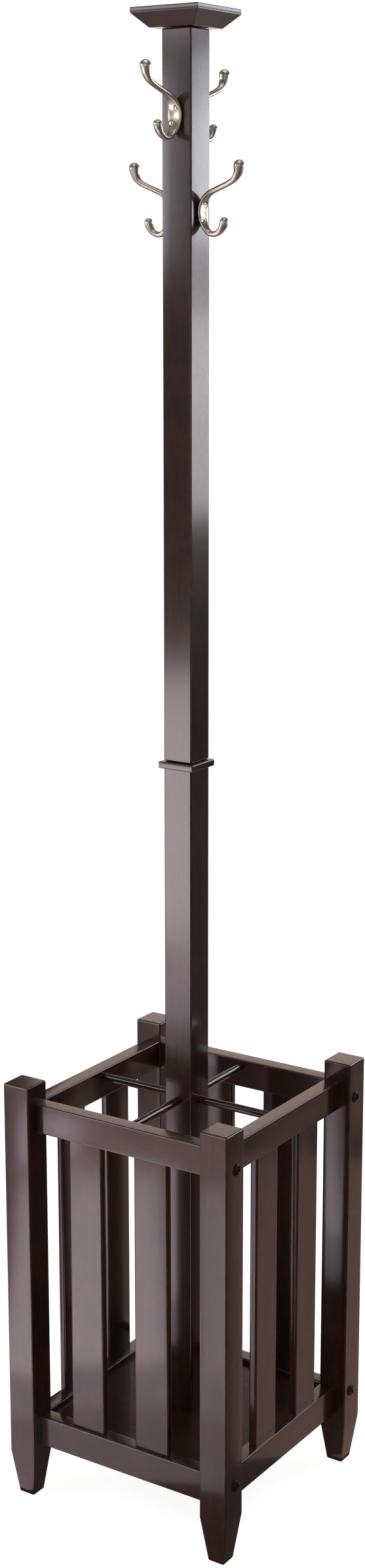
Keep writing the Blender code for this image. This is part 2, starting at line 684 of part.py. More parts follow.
SLAT = slat_mesh()
HOOK_MESHES = {reach: hook_mesh(reach) for reach in sorted(set(HOOK_REACH.values()))}
HOOK_SCREW = hook_screw_mesh()
for side, frame in FRAMES.items():
    for level in RAIL_LEVELS:
        build_rail(side, level, frame)
    for number, x in enumerate(slat_centres(side), start=1):
        new_object(f"slat_{side}_{number}", SLAT, parent=frame, location=(x, -RAIL_CENTRE, 0))
    build_round_bar(f"divider_rod_{side}", (0, -POLE_FACE + ROD_SOCKET, ROD_HEIGHT),
                    (0, -RAIL_INNER - ROD_SOCKET, ROD_HEIGHT), ROD_RADIUS, ESPRESSO, frame, 0.0008)
    low_point = HOOK_LOW_POINT[side]
    new_object(f"hook_{side}", HOOK_MESHES[HOOK_REACH[side]], parent=frame, location=(0, 0, low_point))
    for place, (across, up) in HOOK_SCREW_PLACES.items():
        new_object(f"hook_screw_{side}_{place}", HOOK_SCREW, parent=frame,
                   location=(across, -POLE_FACE - HOOK_SCREW_SEAT, low_point + up),
                   rotation=(math.pi / 2, 0, 0))

build_floor()
build_lower_pole()
build_upper_pole()
build_collar()
build_cap()
build_pole_fasteners()
build_frame_bolts()
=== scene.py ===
# The looks of the umbrella stand: espresso-stained wood, satin nickel hooks and black steel bolts.
# Metres, +Z up, in the frame's own coordinates. The front is -Y and the right is +X.

import math

import bmesh
import bpy
from mathutils import Matrix, Vector


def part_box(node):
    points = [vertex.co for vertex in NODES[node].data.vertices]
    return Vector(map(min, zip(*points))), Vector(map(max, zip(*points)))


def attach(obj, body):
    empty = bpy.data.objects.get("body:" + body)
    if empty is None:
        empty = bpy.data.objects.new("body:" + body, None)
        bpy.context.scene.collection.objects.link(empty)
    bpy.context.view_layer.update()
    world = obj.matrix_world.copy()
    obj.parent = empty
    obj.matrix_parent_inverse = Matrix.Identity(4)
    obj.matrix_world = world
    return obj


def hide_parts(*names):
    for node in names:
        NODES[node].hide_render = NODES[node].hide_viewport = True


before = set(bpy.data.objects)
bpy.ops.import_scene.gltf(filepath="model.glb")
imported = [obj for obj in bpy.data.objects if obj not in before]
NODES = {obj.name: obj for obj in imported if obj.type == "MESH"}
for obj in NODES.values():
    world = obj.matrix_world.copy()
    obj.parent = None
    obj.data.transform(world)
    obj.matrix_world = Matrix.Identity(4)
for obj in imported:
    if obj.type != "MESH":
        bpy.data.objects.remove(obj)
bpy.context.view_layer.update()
SCENE = bpy.context.scene

SIDES = {"front": 0, "right": 90, "rear": 180, "left": 270}     # degrees about +Z
PLACES = ("upper", "lower")
BOLTS = [f"{row}_{column}_{level}"
         for row in ("front", "rear") for column in ("left", "right") for level in PLACES]

# ---------------------------------------------------------------- driving values

CAMERA_PLACE = (1.4038, -2.1228, 1.4797)
CAMERA_YAW = 33.582            # degrees, anticlockwise from +Y
CAMERA_PITCH = -13.063
CAMERA_ROLL = -0.077
CAMERA_LENS = 51.36            # millimetres
CAMERA_SENSOR = 36.0           # millimetres, along the long side of the frame

FLOOR_RADIUS = 22.0
FLOOR_WALL = 9.0               # height of the upturned rim, which serves as the backdrop
FLOOR_WALL_STEPS = 8           # rings over that rim
FLOOR_RINGS = (0.0, 1.0, 4.0)  # radii of the floor's inner rings
FLOOR_SEGMENTS = 64

# The camera sees the cards mirrored in the front and in the right faces of the stand, in these
# horizontal directions from it.
MIRRORED = {"front": Vector((-0.555, -0.832, 0.0)), "right": Vector((0.550, 0.835, 0.0))}
CARD_DISTANCE = 2.2            # of the upright cards from the pole
CARD_AIM_BASE = 0.69           # an upright card faces the pole at this height,
CARD_AIM_RISE = 0.535          # and so much higher for each metre of its own height

# mirrored in, low and high edge, left and right edge seen from the stand, radiance, colour
UPRIGHT_CARDS = {
    "front_low_card": ("front", 0.03, 0.63, -0.65, 0.65, 5.7, (1.0, 0.87, 0.91)),
    "front_high_card": ("front", 1.49, 1.85, 0.03, 1.25, 6.0, (0.97, 0.96, 1.0)),
    "front_rim_card": ("front", 1.96, 2.10, -0.65, 1.25, 6.0, (0.97, 0.94, 1.0)),
    "right_low_card": ("right", 0.965, 1.19, -0.65, 0.65, 3.8, (1.0, 0.95, 0.97)),
    "right_waist_card": ("right", 1.19, 1.38, -0.65, 0.65, 4.5, (0.98, 0.96, 1.0)),
    "right_middle_card": ("right", 1.38, 1.53, -0.65, 0.65, 2.3, (0.94, 0.92, 1.0)),
    "right_high_card": ("right", 1.53, 1.80, -1.00, 0.09, 6.9, (0.92, 0.92, 1.0)),
    "right_top_card": ("right", 1.80, 1.90, -1.00, 0.09, 4.5, (0.88, 0.90, 1.0)),
    "right_rim_card": ("right", 1.97, 2.10, -0.65, 0.65, 6.2, (0.94, 0.93, 1.0)),
}
FLOOR_CARD_HEIGHT = 0.006
# mirrored in, near and far edge from the centre of the stand, left and right edge, radiance, colour
FLOOR_CARDS = {
    "front_foot_floor": ("front", 0.20, 0.38, -0.50, 0.70, 0.95, (1.0, 0.88, 0.96)),
    "front_near_floor": ("front", 0.38, 0.50, -0.50, 0.70, 1.5, (1.0, 0.88, 0.96)),
    "front_middle_floor": ("front", 0.50, 1.17, -0.135, 0.095, 3.3, (1.0, 0.87, 0.93)),
    "front_aside_floor": ("front", 0.50, 1.15, -0.50, -0.18, 2.0, (1.0, 0.87, 0.93)),
    "front_corner_floor": ("front", 0.50, 0.97, 0.17, 0.70, 0.9, (1.0, 0.87, 0.93)),
    "front_left_floor": ("front", 1.23, 1.52, 0.03, 0.095, 4.6, (1.0, 0.86, 0.97)),
    "front_right_floor": ("front", 1.20, 1.52, -0.70, 0.03, 1.15, (1.0, 0.50, 0.54)),
    "front_far_floor": ("front", 1.72, 2.15, -0.70, 0.70, 3.0, (1.0, 0.84, 0.95)),
    "right_near_floor": ("right", 0.18, 1.16, -0.70, 0.20, 0.39, (1.0, 0.60, 0.50)),
    "right_rail_floor": ("right", 1.16, 1.42, 0.02, 0.10, 0.24, (1.0, 0.60, 0.50)),
    "right_far_floor": ("right", 1.30, 1.65, -0.70, 0.02, 0.26, (1.0, 0.55, 0.45)),
}
# place, point it faces, width, height, radiance, colour
LIGHTS = {
    "top_softbox": ((0.3, -0.2, 3.4), (0.0, 0.0, 0.5), 1.8, 1.8, 1.2, (1.0, 0.96, 0.94)),
    "ceiling_card": ((0.0, 0.0, 4.6), (0.0, 0.0, 0.5), 7.0, 7.0, 0.20, (1.0, 0.93, 0.86)),
    "back_softbox": ((-1.27, 2.9, 1.57), (0.0, 0.0, 0.54), 1.9, 1.15, 1.1, (1.0, 0.75, 0.64)),
    "room_card": ((2.5, -3.3, 1.6), (0.0, 0.0, 1.1), 4.0, 3.2, 0.50, (1.0, 0.88, 0.78)),
    "front_strip": ((0.35, -2.8, 1.65), (0.0, 0.0, 1.45), 0.7, 1.5, 2.0, (1.0, 0.97, 0.93)),
    "left_strip": ((-2.6, 0.9, 1.65), (0.0, 0.0, 1.45), 0.9, 1.5, 1.6, (1.0, 0.97, 0.93)),
    "rear_strip": ((-0.3, 2.9, 1.75), (0.0, 0.0, 1.45), 0.6, 1.3, 1.8, (1.0, 0.97, 0.93)),
    "left_wall": ((-4.2, 0.0, 1.3), (0.0, 0.0, 0.9), 3.0, 2.6, 0.35, (1.0, 0.88, 0.80)),
    "right_wall": ((4.2, 0.6, 1.3), (0.0, 0.0, 0.9), 3.0, 2.6, 0.35, (1.0, 0.88, 0.80)),
    "left_floor_card": ((-1.15, -0.2, 0.006), (-1.15, -0.2, 1.0), 1.0, 1.0, 0.32, (1.0, 0.85, 0.80)),
    "rear_floor_card": ((0.3, 2.6, 0.006), (0.3, 2.6, 1.0), 1.2, 1.2, 0.35, (1.0, 0.85, 0.80)),
    "floor_bounce": ((0.0, 0.0, 0.003), (0.0, 0.0, 1.0), 7.0, 7.0, 0.08, (1.0, 0.70, 0.64)),
}
WORLD_COLOUR = (0.60, 0.57, 0.55, 1.0)
WORLD_STRENGTH = 0.05

# The hook's centre line from the upper knob to the lower one. Each station holds its distance out from
# the pole, its height over the hook's lowest point, its thickness in the hook's plane, its width
# across, and how far its outer face is dished, all in millimetres.
HOOK_STATIONS = (
    (54.2, 74.6, 12.2, 12.8, 0.0),
    (52.6, 67.6, 9.4, 10.2, 0.0),
    (47.6, 61.0, 6.8, 8.2, 0.0),
    (38.0, 56.2, 5.9, 7.4, 0.0),
    (25.0, 51.6, 5.8, 7.6, 0.0),
    (12.6, 46.6, 6.2, 9.6, 0.3),
    (5.0, 39.0, 6.4, 14.4, 1.2),
    (2.7, 27.0, 5.6, 18.4, 1.7),
    (4.4, 14.6, 6.2, 14.4, 1.2),
    (10.2, 5.8, 6.2, 9.8, 0.3),
    (18.6, 3.1, 6.2, 8.4, 0.0),
    (27.4, 6.2, 6.8, 8.6, 0.0),
    (32.4, 12.8, 9.2, 9.8, 0.0),
    (33.4, 16.4, 9.4, 10.0, 0.0),
)
HOOK_TIPS = ((54.7, 81.2), (33.9, 21.0))    # out and up of the crowns of the two knobs
HOOK_ROOT = 5.0                # the arms are stretched beyond this distance from the pole
HOOK_REACH = {"front": 1.09, "rear": 1.09, "left": 0.91, "right": 0.91}    # by this much
HOOK_STEPS = 5                 # rings from one station to the next
HOOK_CROWN_STEPS = 6           # rings over each knob's crown
HOOK_RING = 32                 # points round the hook's section
HOOK_DISH_SHARE = 0.36         # half width of the dish, as a share of the hook's width
HOOK_CLEARANCE = 0.0003        # between the hook's back and the pole, and round its screws
HOOK_SHARP_ANGLE = 42          # degrees; edges that turn by more are shaded as sharp

SCREW_PLACES = {"upper": (0.0034, 0.0342), "lower": (-0.0034, 0.0184)}   # across and up from the low point
SCREW_SEAT = 0.0042            # rim of the screw head out from the pole
SCREW_LENGTH = 0.016
SCREW_RADIUS = 0.00175
SCREW_HEAD_RADIUS = 0.0032
SCREW_HEAD_DEPTH = 0.0022
SCREW_TIP = 0.003              # length of the pointed end
SCREW_CROWN = 0.0005           # how far the head's face is domed
SCREW_SLOT = (0.0039, 0.00085, 0.0013)   # length, width and depth of each arm of the cross recess
SCREW_SLOT_TAPER = 0.6         # size at the bottom of the recess, as a share of its size at the top
SCREW_SEGMENTS = 32
SCREW_TURNS = (31, 47, 1 / 5)  # degrees that a screw is turned: at least, more for the lower one of a
                               # hook, and more for each degree of its side
SEAT_ABOVE = 0.006             # how far the cutter of a screw's seat reaches out past its rim,
SEAT_BELOW = 0.002             # and in past the pole's face

BOLT_HEAD_RADIUS = 0.007
BOLT_HEAD_HEIGHT = 0.0032
BOLT_EDGE = 0.0006             # height of the head's upright rim
BOLT_EDGE_EASE = 0.0002
BOLT_RADIUS = 0.003
BOLT_LENGTH = 0.045
BOLT_END_EASE = 0.0005
BOLT_SEGMENTS = 48
HEX_ACROSS_FLATS = 0.004
HEX_DEPTH = 0.0021
HEX_MOUTH = (0.8, 1.5, 0.0014)           # radii as shares of the socket's corner, and depth, of its bevel
HEX_MOUTH_SEGMENTS = 32

FASTENER_SHARP_ANGLE = 30      # degrees, for screws and bolts
SHARP_ANGLE = 50               # degrees; rounded wooden edges turn by less from face to face
WELD_DISTANCE = 0.000001
NORMAL_WEIGHT = 80             # how far the large faces set the shading of a wooden edge

PATTERN_STEP = (0.731, 1.173, 0.417)     # metres that the pattern moves from one piece to the next
EDGE_TURN = (0.985, 0.93)      # largest part of the normal where an edge's lightening, partly wear and partly painted highlight, starts, and is full

# ---------------------------------------------------------------- shader helpers


def new_material(name):
    material = bpy.data.materials.new(name)
    material.use_nodes = True
    return material, material.node_tree, material.node_tree.nodes["Principled BSDF"]


def add_node(tree, kind, inputs=None, **settings):
    """A shader node with its settings, and its inputs set to values or linked to sockets."""
    made = tree.nodes.new("ShaderNode" + kind)
    for name, value in settings.items():
        setattr(made, name, value)
    for name, value in (inputs or {}).items():
        if isinstance(value, bpy.types.NodeSocket):
            tree.links.new(value, made.inputs[name])
        else:
            made.inputs[name].default_value = value
    return made


def maths(tree, operation, first, second=0.0):
    return add_node(tree, "Math", {0: first, 1: second}, operation=operation).outputs[0]


def vectors(tree, operation, first, second):
    return add_node(tree, "VectorMath", {0: first, 1: second}, operation=operation).outputs[0]


def noise(tree, place, scale, detail=2.0, roughness=0.5, distortion=0.0):
    inputs = {"Vector": place, "Scale": scale, "Detail": detail, "Roughness": roughness,
              "Distortion": distortion}
    return add_node(tree, "TexNoise", inputs).outputs["Fac"]


def remap(tree, value, low, high, to_low=0.0, to_high=1.0, smooth=True):
    """The value's range low..high spread over to_low..to_high, and held at the ends."""
    kind = "SMOOTHSTEP" if smooth else "LINEAR"
    inputs = {"Value": value, "From Min": low, "From Max": high, "To Min": to_low, "To Max": to_high}
    return add_node(tree, "MapRange", inputs, interpolation_type=kind).outputs["Result"]


def blend_colours(tree, share, first, second, how="MIX"):
    mix = add_node(tree, "Mix", data_type="RGBA", blend_type=how)
    factor, first_socket, second_socket = mix.inputs[0], mix.inputs[6], mix.inputs[7]
    for socket, value in ((factor, share), (first_socket, first), (second_socket, second)):
        if isinstance(value, bpy.types.NodeSocket):
            tree.links.new(value, socket)
        else:
            socket.default_value = value if socket is factor else (*value, 1.0)
    return mix.outputs[2]


def bump(tree, shader, height, strength, distance):
    inputs = {"Height": height, "Strength": strength, "Distance": distance}
    tree.links.new(add_node(tree, "Bump", inputs).outputs["Normal"], shader.inputs["Normal"])


def piece_coordinates(tree):
    """The place on the object, shifted by each piece's own number, so no two pieces share a pattern."""
    place = add_node(tree, "TexCoord").outputs["Object"]
    number = add_node(tree, "Attribute", attribute_type="OBJECT",
                      attribute_name="piece_number").outputs["Fac"]
    steps = {axis: maths(tree, "MULTIPLY", number, step) for axis, step in zip("XYZ", PATTERN_STEP)}
    shift = add_node(tree, "CombineXYZ", steps).outputs[0]
    return vectors(tree, "ADD", place, shift)


def eased_edge_mask(tree):
    """1 on the rounded edges of a board whose faces are square to the axes, and 0 on the faces."""
    normal = add_node(tree, "NewGeometry").outputs["True Normal"]
    parts = add_node(tree, "SeparateXYZ", {0: vectors(tree, "ABSOLUTE", normal, (0, 0, 0))}).outputs
    largest = maths(tree, "MAXIMUM", maths(tree, "MAXIMUM", parts[0], parts[1]), parts[2])
    return remap(tree, largest, *EDGE_TURN)


# ---------------------------------------------------------------- materials

# The lightest colour of each palette goes on the eased edges: partly worn stain, partly a painted highlight.
ESPRESSO = {"dark": (0.021, 0.0083, 0.0064), "mid": (0.038, 0.0147, 0.0110), "red": (0.078, 0.024, 0.016),
            "pore": (0.009, 0.0045, 0.0040), "wear_and_highlight": (0.105, 0.060, 0.046)}
RAW_BEECH = {"dark": (0.48, 0.32, 0.20), "mid": (0.58, 0.41, 0.27), "red": (0.55, 0.34, 0.21),
             "pore": (0.36, 0.22, 0.13), "wear_and_highlight": (0.66, 0.50, 0.35)}
GRAIN_SQUEEZE = 0.055          # of the pattern along the grain, which draws it out into fibres
FIBRE_SHARE, FIGURE_SHARE = 0.6, 0.4     # of the wood's tone
RED_SHARE, PORE_SHARE = 0.40, 0.55       # most that these colours cover the stain
FIBRE_HEIGHT, PORE_DEPTH = 0.7, 0.5      # shares of the bump
EDGE_WEAR_AND_HIGHLIGHT_SHARE = (0.10, 0.60)      # least and most that an edge is lightened: partly wear, partly a painted highlight
WOOD_ROUGHNESS = (0.36, 0.50)
WOOD_GLOSS = 0.12
WOOD_IOR = 1.5
LACQUER_IOR = 1.55
LACQUER_ROUGHNESS = 0.13
PANEL_LACQUER = 0.25           # the floor panel has a thinner coat

NICKEL_COLOURS = {"low": (0.58, 0.535, 0.45), "high": (0.66, 0.615, 0.52), "dulled": (0.48, 0.435, 0.36)}
NICKEL_ROUGHNESS = (0.32, 0.37)
DULLED_SHARE = 0.3
DULLED_ROUGHNESS = 0.06        # added where the nickel is dulled
OXIDE_COLOURS = {"black": (0.010, 0.010, 0.011), "rubbed": (0.045, 0.042, 0.040)}
OXIDE_ROUGHNESS = (0.24, 0.36)
RUBBED_SHARE = 0.6
ZINC_COLOURS = {"blue": (0.60, 0.61, 0.64), "yellow": (0.66, 0.62, 0.50)}
ZINC_ROUGHNESS = (0.26, 0.40)
PAPER_COLOURS = ((0.50, 0.50, 0.50), (0.54, 0.54, 0.54))
PAPER_GLOW = (0.90, 1.02)      # brightness beside the stand, and away from it


def wood(name, grain_axis, palette, edge_wear_and_highlight=True, lacquer=1.0):
    """Close-grained hardwood: fibres and pores along the grain, stain that took unevenly, edges lightened
    partly by wear and partly as a painted highlight.
    """
    material, tree, shader = new_material(name)
    place = piece_coordinates(tree)
    squeeze = [1.0, 1.0, 1.0]
    squeeze[grain_axis] = GRAIN_SQUEEZE
    along = vectors(tree, "MULTIPLY", place, squeeze)
    fibres = noise(tree, along, 620.0, 3.0, 0.62)
    figure = noise(tree, along, 70.0, 2.0, 0.5, 0.4)
    pores = remap(tree, noise(tree, along, 1900.0, 1.0, 0.5), 0.60, 0.72)
    blotches = remap(tree, noise(tree, place, 20.0, 4.0, 0.65), 0.42, 0.68)
    speckle = noise(tree, place, 260.0, 2.0, 0.6)

    tone = maths(tree, "ADD", maths(tree, "MULTIPLY", fibres, FIBRE_SHARE),
                 maths(tree, "MULTIPLY", figure, FIGURE_SHARE))
    colour = blend_colours(tree, remap(tree, tone, 0.36, 0.64), palette["dark"], palette["mid"])
    colour = blend_colours(tree, maths(tree, "MULTIPLY", blotches, RED_SHARE), colour, palette["red"])
    colour = blend_colours(tree, maths(tree, "MULTIPLY", pores, PORE_SHARE), colour, palette["pore"])
    # Eased edges are lightened in patches: partly wear of the stain, partly a painted highlight.
    if edge_wear_and_highlight:
        patchy = remap(tree, noise(tree, place, 60.0, 3.0, 0.65), 0.38, 0.70, *EDGE_WEAR_AND_HIGHLIGHT_SHARE)
        wear_and_highlight = maths(tree, "MULTIPLY", eased_edge_mask(tree), patchy)
        colour = blend_colours(tree, wear_and_highlight, colour, palette["wear_and_highlight"])
    tree.links.new(colour, shader.inputs["Base Color"])
    tree.links.new(remap(tree, speckle, 0.3, 0.7, *WOOD_ROUGHNESS), shader.inputs["Roughness"])
    shader.inputs["IOR"].default_value = WOOD_IOR
    shader.inputs["Specular IOR Level"].default_value = WOOD_GLOSS
    shader.inputs["Coat Weight"].default_value = lacquer
    shader.inputs["Coat IOR"].default_value = LACQUER_IOR
    shader.inputs["Coat Roughness"].default_value = LACQUER_ROUGHNESS
    height = maths(tree, "SUBTRACT", maths(tree, "MULTIPLY", fibres, FIBRE_HEIGHT),
                   maths(tree, "MULTIPLY", pores, PORE_DEPTH))
    bump(tree, shader, height, 0.12, 0.0003)
    return material


def nickel():
    """Cast and polished, then nickelled: a warm satin skin with faint polishing waves and dulled spots."""
    material, tree, shader = new_material("satin_nickel_metal")
    place = piece_coordinates(tree)
    waves = noise(tree, place, 55.0, 2.0, 0.5)
    grain = noise(tree, place, 900.0, 2.0, 0.6)
    dulled = remap(tree, noise(tree, place, 130.0, 4.0, 0.7), 0.52, 0.72)
    colour = blend_colours(tree, remap(tree, waves, 0.35, 0.65), NICKEL_COLOURS["low"],
                           NICKEL_COLOURS["high"])
    colour = blend_colours(tree, maths(tree, "MULTIPLY", dulled, DULLED_SHARE), colour,
                           NICKEL_COLOURS["dulled"])
    tree.links.new(colour, shader.inputs["Base Color"])
    roughness = maths(tree, "ADD", remap(tree, grain, 0.3, 0.7, *NICKEL_ROUGHNESS),
                      maths(tree, "MULTIPLY", dulled, DULLED_ROUGHNESS))
    tree.links.new(roughness, shader.inputs["Roughness"])
    shader.inputs["Metallic"].default_value = 1.0
    bump(tree, shader, maths(tree, "ADD", waves, maths(tree, "MULTIPLY", grain, 0.01)), 0.05, 0.0005)
    return material


def blacked_steel():
    """Black-oxide steel: nearly black, slightly oily, rubbed a little brighter in patches."""
    material, tree, shader = new_material("black_oxide_steel")
    place = piece_coordinates(tree)
    rubbed = remap(tree, noise(tree, place, 420.0, 4.0, 0.7), 0.50, 0.72)
    grain = noise(tree, place, 2600.0, 2.0, 0.5)
    colour = blend_colours(tree, maths(tree, "MULTIPLY", rubbed, RUBBED_SHARE), OXIDE_COLOURS["black"],
                           OXIDE_COLOURS["rubbed"])
    tree.links.new(colour, shader.inputs["Base Color"])
    tree.links.new(remap(tree, grain, 0.3, 0.7, *OXIDE_ROUGHNESS), shader.inputs["Roughness"])
    shader.inputs["Metallic"].default_value = 0.35
    bump(tree, shader, grain, 0.12, 0.0001)
    return material


def zinc_steel():
    """Bright zinc plating on the hidden fasteners, with a faint yellow and blue cast."""
    material, tree, shader = new_material("zinc_plated_steel")
    place = piece_coordinates(tree)
    cast = noise(tree, place, 160.0, 3.0, 0.6)
    grain = noise(tree, place, 1800.0, 2.0, 0.6)
    colour = blend_colours(tree, remap(tree, cast, 0.35, 0.65), ZINC_COLOURS["blue"], ZINC_COLOURS["yellow"])
    tree.links.new(colour, shader.inputs["Base Color"])
    tree.links.new(remap(tree, grain, 0.3, 0.7, *ZINC_ROUGHNESS), shader.inputs["Roughness"])
    shader.inputs["Metallic"].default_value = 1.0
    bump(tree, shader, grain, 0.15, 0.0001)
    return material


def pale_paper():
    """The floor and backdrop: matt pale paper that holds its brightness far from the lights."""
    material, tree, shader = new_material("pale_studio_paper")
    place = add_node(tree, "TexCoord").outputs["Object"]
    tooth = noise(tree, place, 40.0, 3.0, 0.6)
    colour = blend_colours(tree, tooth, *PAPER_COLOURS)
    tree.links.new(colour, shader.inputs["Base Color"])
    shader.inputs["Roughness"].default_value = 0.95
    shader.inputs["Specular IOR Level"].default_value = 0.0
    shader.inputs["Emission Color"].default_value = (1.0, 1.0, 1.0, 1.0)
    away = add_node(tree, "VectorMath", {0: place}, operation="LENGTH").outputs["Value"]
    tree.links.new(remap(tree, away, 0.3, 4.0, *PAPER_GLOW), shader.inputs["Emission Strength"])
    return material


WOOD = {
    "x": wood("espresso_grain_x", 0, ESPRESSO),
    "y": wood("espresso_grain_y", 1, ESPRESSO),
    "z": wood("espresso_grain_z", 2, ESPRESSO),
    "cap": wood("espresso_cap", 0, ESPRESSO, edge_wear_and_highlight=False),
    "rod_x": wood("espresso_rod_x", 0, ESPRESSO, edge_wear_and_highlight=False),
    "rod_y": wood("espresso_rod_y", 1, ESPRESSO, edge_wear_and_highlight=False),
    "panel": wood("espresso_panel", 0, ESPRESSO, edge_wear_and_highlight=False, lacquer=PANEL_LACQUER),
    "raw": wood("raw_beech", 2, RAW_BEECH, edge_wear_and_highlight=False, lacquer=0.0),
}
NICKEL = nickel()
BLACK = blacked_steel()
ZINC = zinc_steel()

# ---------------------------------------------------------------- carried-over pieces


def wood_for(name):
    """The wood whose grain runs along the piece."""
    across = "x" if name.endswith(("front", "rear")) else "y"
    along = "y" if across == "x" else "x"
    if "rail" in name:
        return WOOD[across]
    if name.startswith("divider_rod"):
        return WOOD["rod_" + along]
    if name == "floor_panel":
        return WOOD["panel"]
    if name == "pole_collar":
        return WOOD["x"]
    return WOOD["cap" if name == "cap" else "z"]


def material_for(name):
    if name == "cap_dowel":
        return WOOD["raw"]
    if name.startswith("frame_bolt"):
        return BLACK
    if name.startswith(("frame_insert", "pole_stud", "pole_base_screw")):
        return ZINC
    return NICKEL if name.startswith("hook") else wood_for(name)


def finish_node(obj):
    """Gives a carried-over piece its material, and shading whose eased edges catch the light smoothly."""
    weld = obj.modifiers.new("weld", "WELD")
    weld.merge_threshold = WELD_DISTANCE
    for polygon in obj.data.polygons:
        polygon.use_smooth = True
    split = obj.modifiers.new("sharp_edges", "EDGE_SPLIT")
    split.split_angle = math.radians(SHARP_ANGLE)
    normals = obj.modifiers.new("even_normals", "WEIGHTED_NORMAL")
    normals.weight = NORMAL_WEIGHT
    obj.material_slots[0].material = material_for(obj.name)


for number, name in enumerate(sorted(NODES), start=1):
    NODES[name]["piece_number"] = float(number)
    finish_node(NODES[name])

# ---------------------------------------------------------------- mesh helpers


def mesh_from(name, bm):
    bmesh.ops.recalc_face_normals(bm, faces=bm.faces)
    mesh = bpy.data.meshes.new(name)
    bm.to_mesh(mesh)
    bm.free()
    return mesh


def new_piece(name, mesh, material, node, place):
    """A finished piece in place, which stands for a CAD node."""
    obj = bpy.data.objects.new(name, mesh)
    SCENE.collection.objects.link(obj)
    obj.matrix_world = place
    obj["piece_number"] = NODES[node]["piece_number"]
    if not mesh.materials:
        mesh.materials.append(material)
    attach(obj, "root")
    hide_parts(node)
    return obj


def loft(bm, loops, close_start=True, close_end=True):
    """Skins a list of rings that have the same number of points."""
    for ring, following in zip(loops, loops[1:]):
        for i in range(len(ring)):
            j = (i + 1) % len(ring)
            bm.faces.new((ring[i], ring[j], following[j], following[i]))
    if close_start:
        bm.faces.new(loops[0])
    if close_end:
        bm.faces.new(loops[-1])


def turned(profile, segments):
    """A bmesh turned about Z from (radius, height) points that start and end on the axis."""
    bm = bmesh.new()
    points = [bm.verts.new((radius, 0.0, height)) for radius, height in profile]
    edges = [bm.edges.new(pair) for pair in zip(points, points[1:])]
    bmesh.ops.spin(bm, geom=points + edges, cent=(0, 0, 0), axis=(0, 0, 1), angle=math.tau,
                   steps=segments, use_duplicate=False)
    bmesh.ops.remove_doubles(bm, verts=bm.verts, dist=0.00001)
    return bm


def cut(mesh, cutters):
    """The mesh with each cutter's shape taken out of it."""
    obj = bpy.data.objects.new("pattern", mesh)
    SCENE.collection.objects.link(obj)
    helpers = []
    for cutter in cutters:
        helper = bpy.data.objects.new("cutter", mesh_from("cutter", cutter))
        SCENE.collection.objects.link(helper)
        helpers.append(helper)
        boolean = obj.modifiers.new("cut", "BOOLEAN")
        boolean.operation = "DIFFERENCE"
        boolean.object = helper
    bpy.context.view_layer.update()
    result = bpy.data.meshes.new_from_object(obj.evaluated_get(bpy.context.evaluated_depsgraph_get()))
    for unwanted in [obj] + helpers:
        bpy.data.objects.remove(unwanted, do_unlink=True)
    return result


def shade(mesh, sharper_than):
    mesh.shade_smooth()
    mesh.set_sharp_from_angle(angle=math.radians(sharper_than))
    return mesh


# ---------------------------------------------------------------- hooks

POLE_FACE = -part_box("upper_pole")[0].y


def smooth_between(before, start, end, after, share):
    """Catmull-Rom value at a share of the way from start to end."""
    slope_in = (end - before) / 2
    slope_out = (after - start) / 2
    square = share * share
    cube = square * share
    return ((2 * cube - 3 * square + 1) * start + (cube - 2 * square + share) * slope_in
            + (3 * square - 2 * cube) * end + (cube - square) * slope_out)


def crown_rings(station, tip):
    """Rings from a knob's widest station over its rounded crown, each smaller than the last."""
    rings = []
    for step in range(1, HOOK_CROWN_STEPS + 1):
        angle = math.pi / 2 * step / (HOOK_CROWN_STEPS + 0.5)
        centre = station.copy()
        for axis in (0, 1):
            centre[axis] += (tip[axis] - station[axis]) * math.sin(angle)
        centre[2] *= math.cos(angle)
        centre[3] *= math.cos(angle)
        rings.append(centre)
    return rings


def stretched(out, *others, reach):
    """A station or tip in metres, with its distance from the pole stretched beyond the hook's root."""
    out += max(0.0, out - HOOK_ROOT) * (reach - 1.0)
    return Vector((out, *others)) / 1000


def hook_rings(reach):
    """Every ring of the hook: the upper crown, the stations with smooth ones between, the lower crown."""
    stations = [stretched(*station, reach=reach) for station in HOOK_STATIONS]
    last = len(stations) - 1
    rings = []
    for index in range(last):
        before = stations[max(index - 1, 0)]
        start, end = stations[index:index + 2]
        after = stations[min(index + 2, last)]
        for step in range(HOOK_STEPS):
            rings.append(smooth_between(before, start, end, after, step / HOOK_STEPS))
    tips = [stretched(*tip, reach=reach) for tip in HOOK_TIPS]
    upper = crown_rings(stations[0], tips[0])
    lower = crown_rings(stations[last], tips[1])
    return upper[::-1] + rings + [stations[last]] + lower


def seat_cutter(across, up):
    """A countersunk screw hole in the hook's plate."""
    seat = -POLE_FACE - SCREW_SEAT
    wide = SCREW_HEAD_RADIUS + HOOK_CLEARANCE
    narrow = SCREW_RADIUS + HOOK_CLEARANCE
    stops = ((seat - SEAT_ABOVE, wide), (seat - HOOK_CLEARANCE, wide), (seat + SCREW_HEAD_DEPTH, narrow),
             (-POLE_FACE + SEAT_BELOW, narrow))
    bm = bmesh.new()
    turns = [math.tau * i / HOOK_RING for i in range(HOOK_RING)]
    loops = []
    for y, radius in stops:
        circle = [(across + radius * math.cos(turn), y, up + radius * math.sin(turn)) for turn in turns]
        loops.append([bm.verts.new(point) for point in circle])
    loft(bm, loops)
    return bm


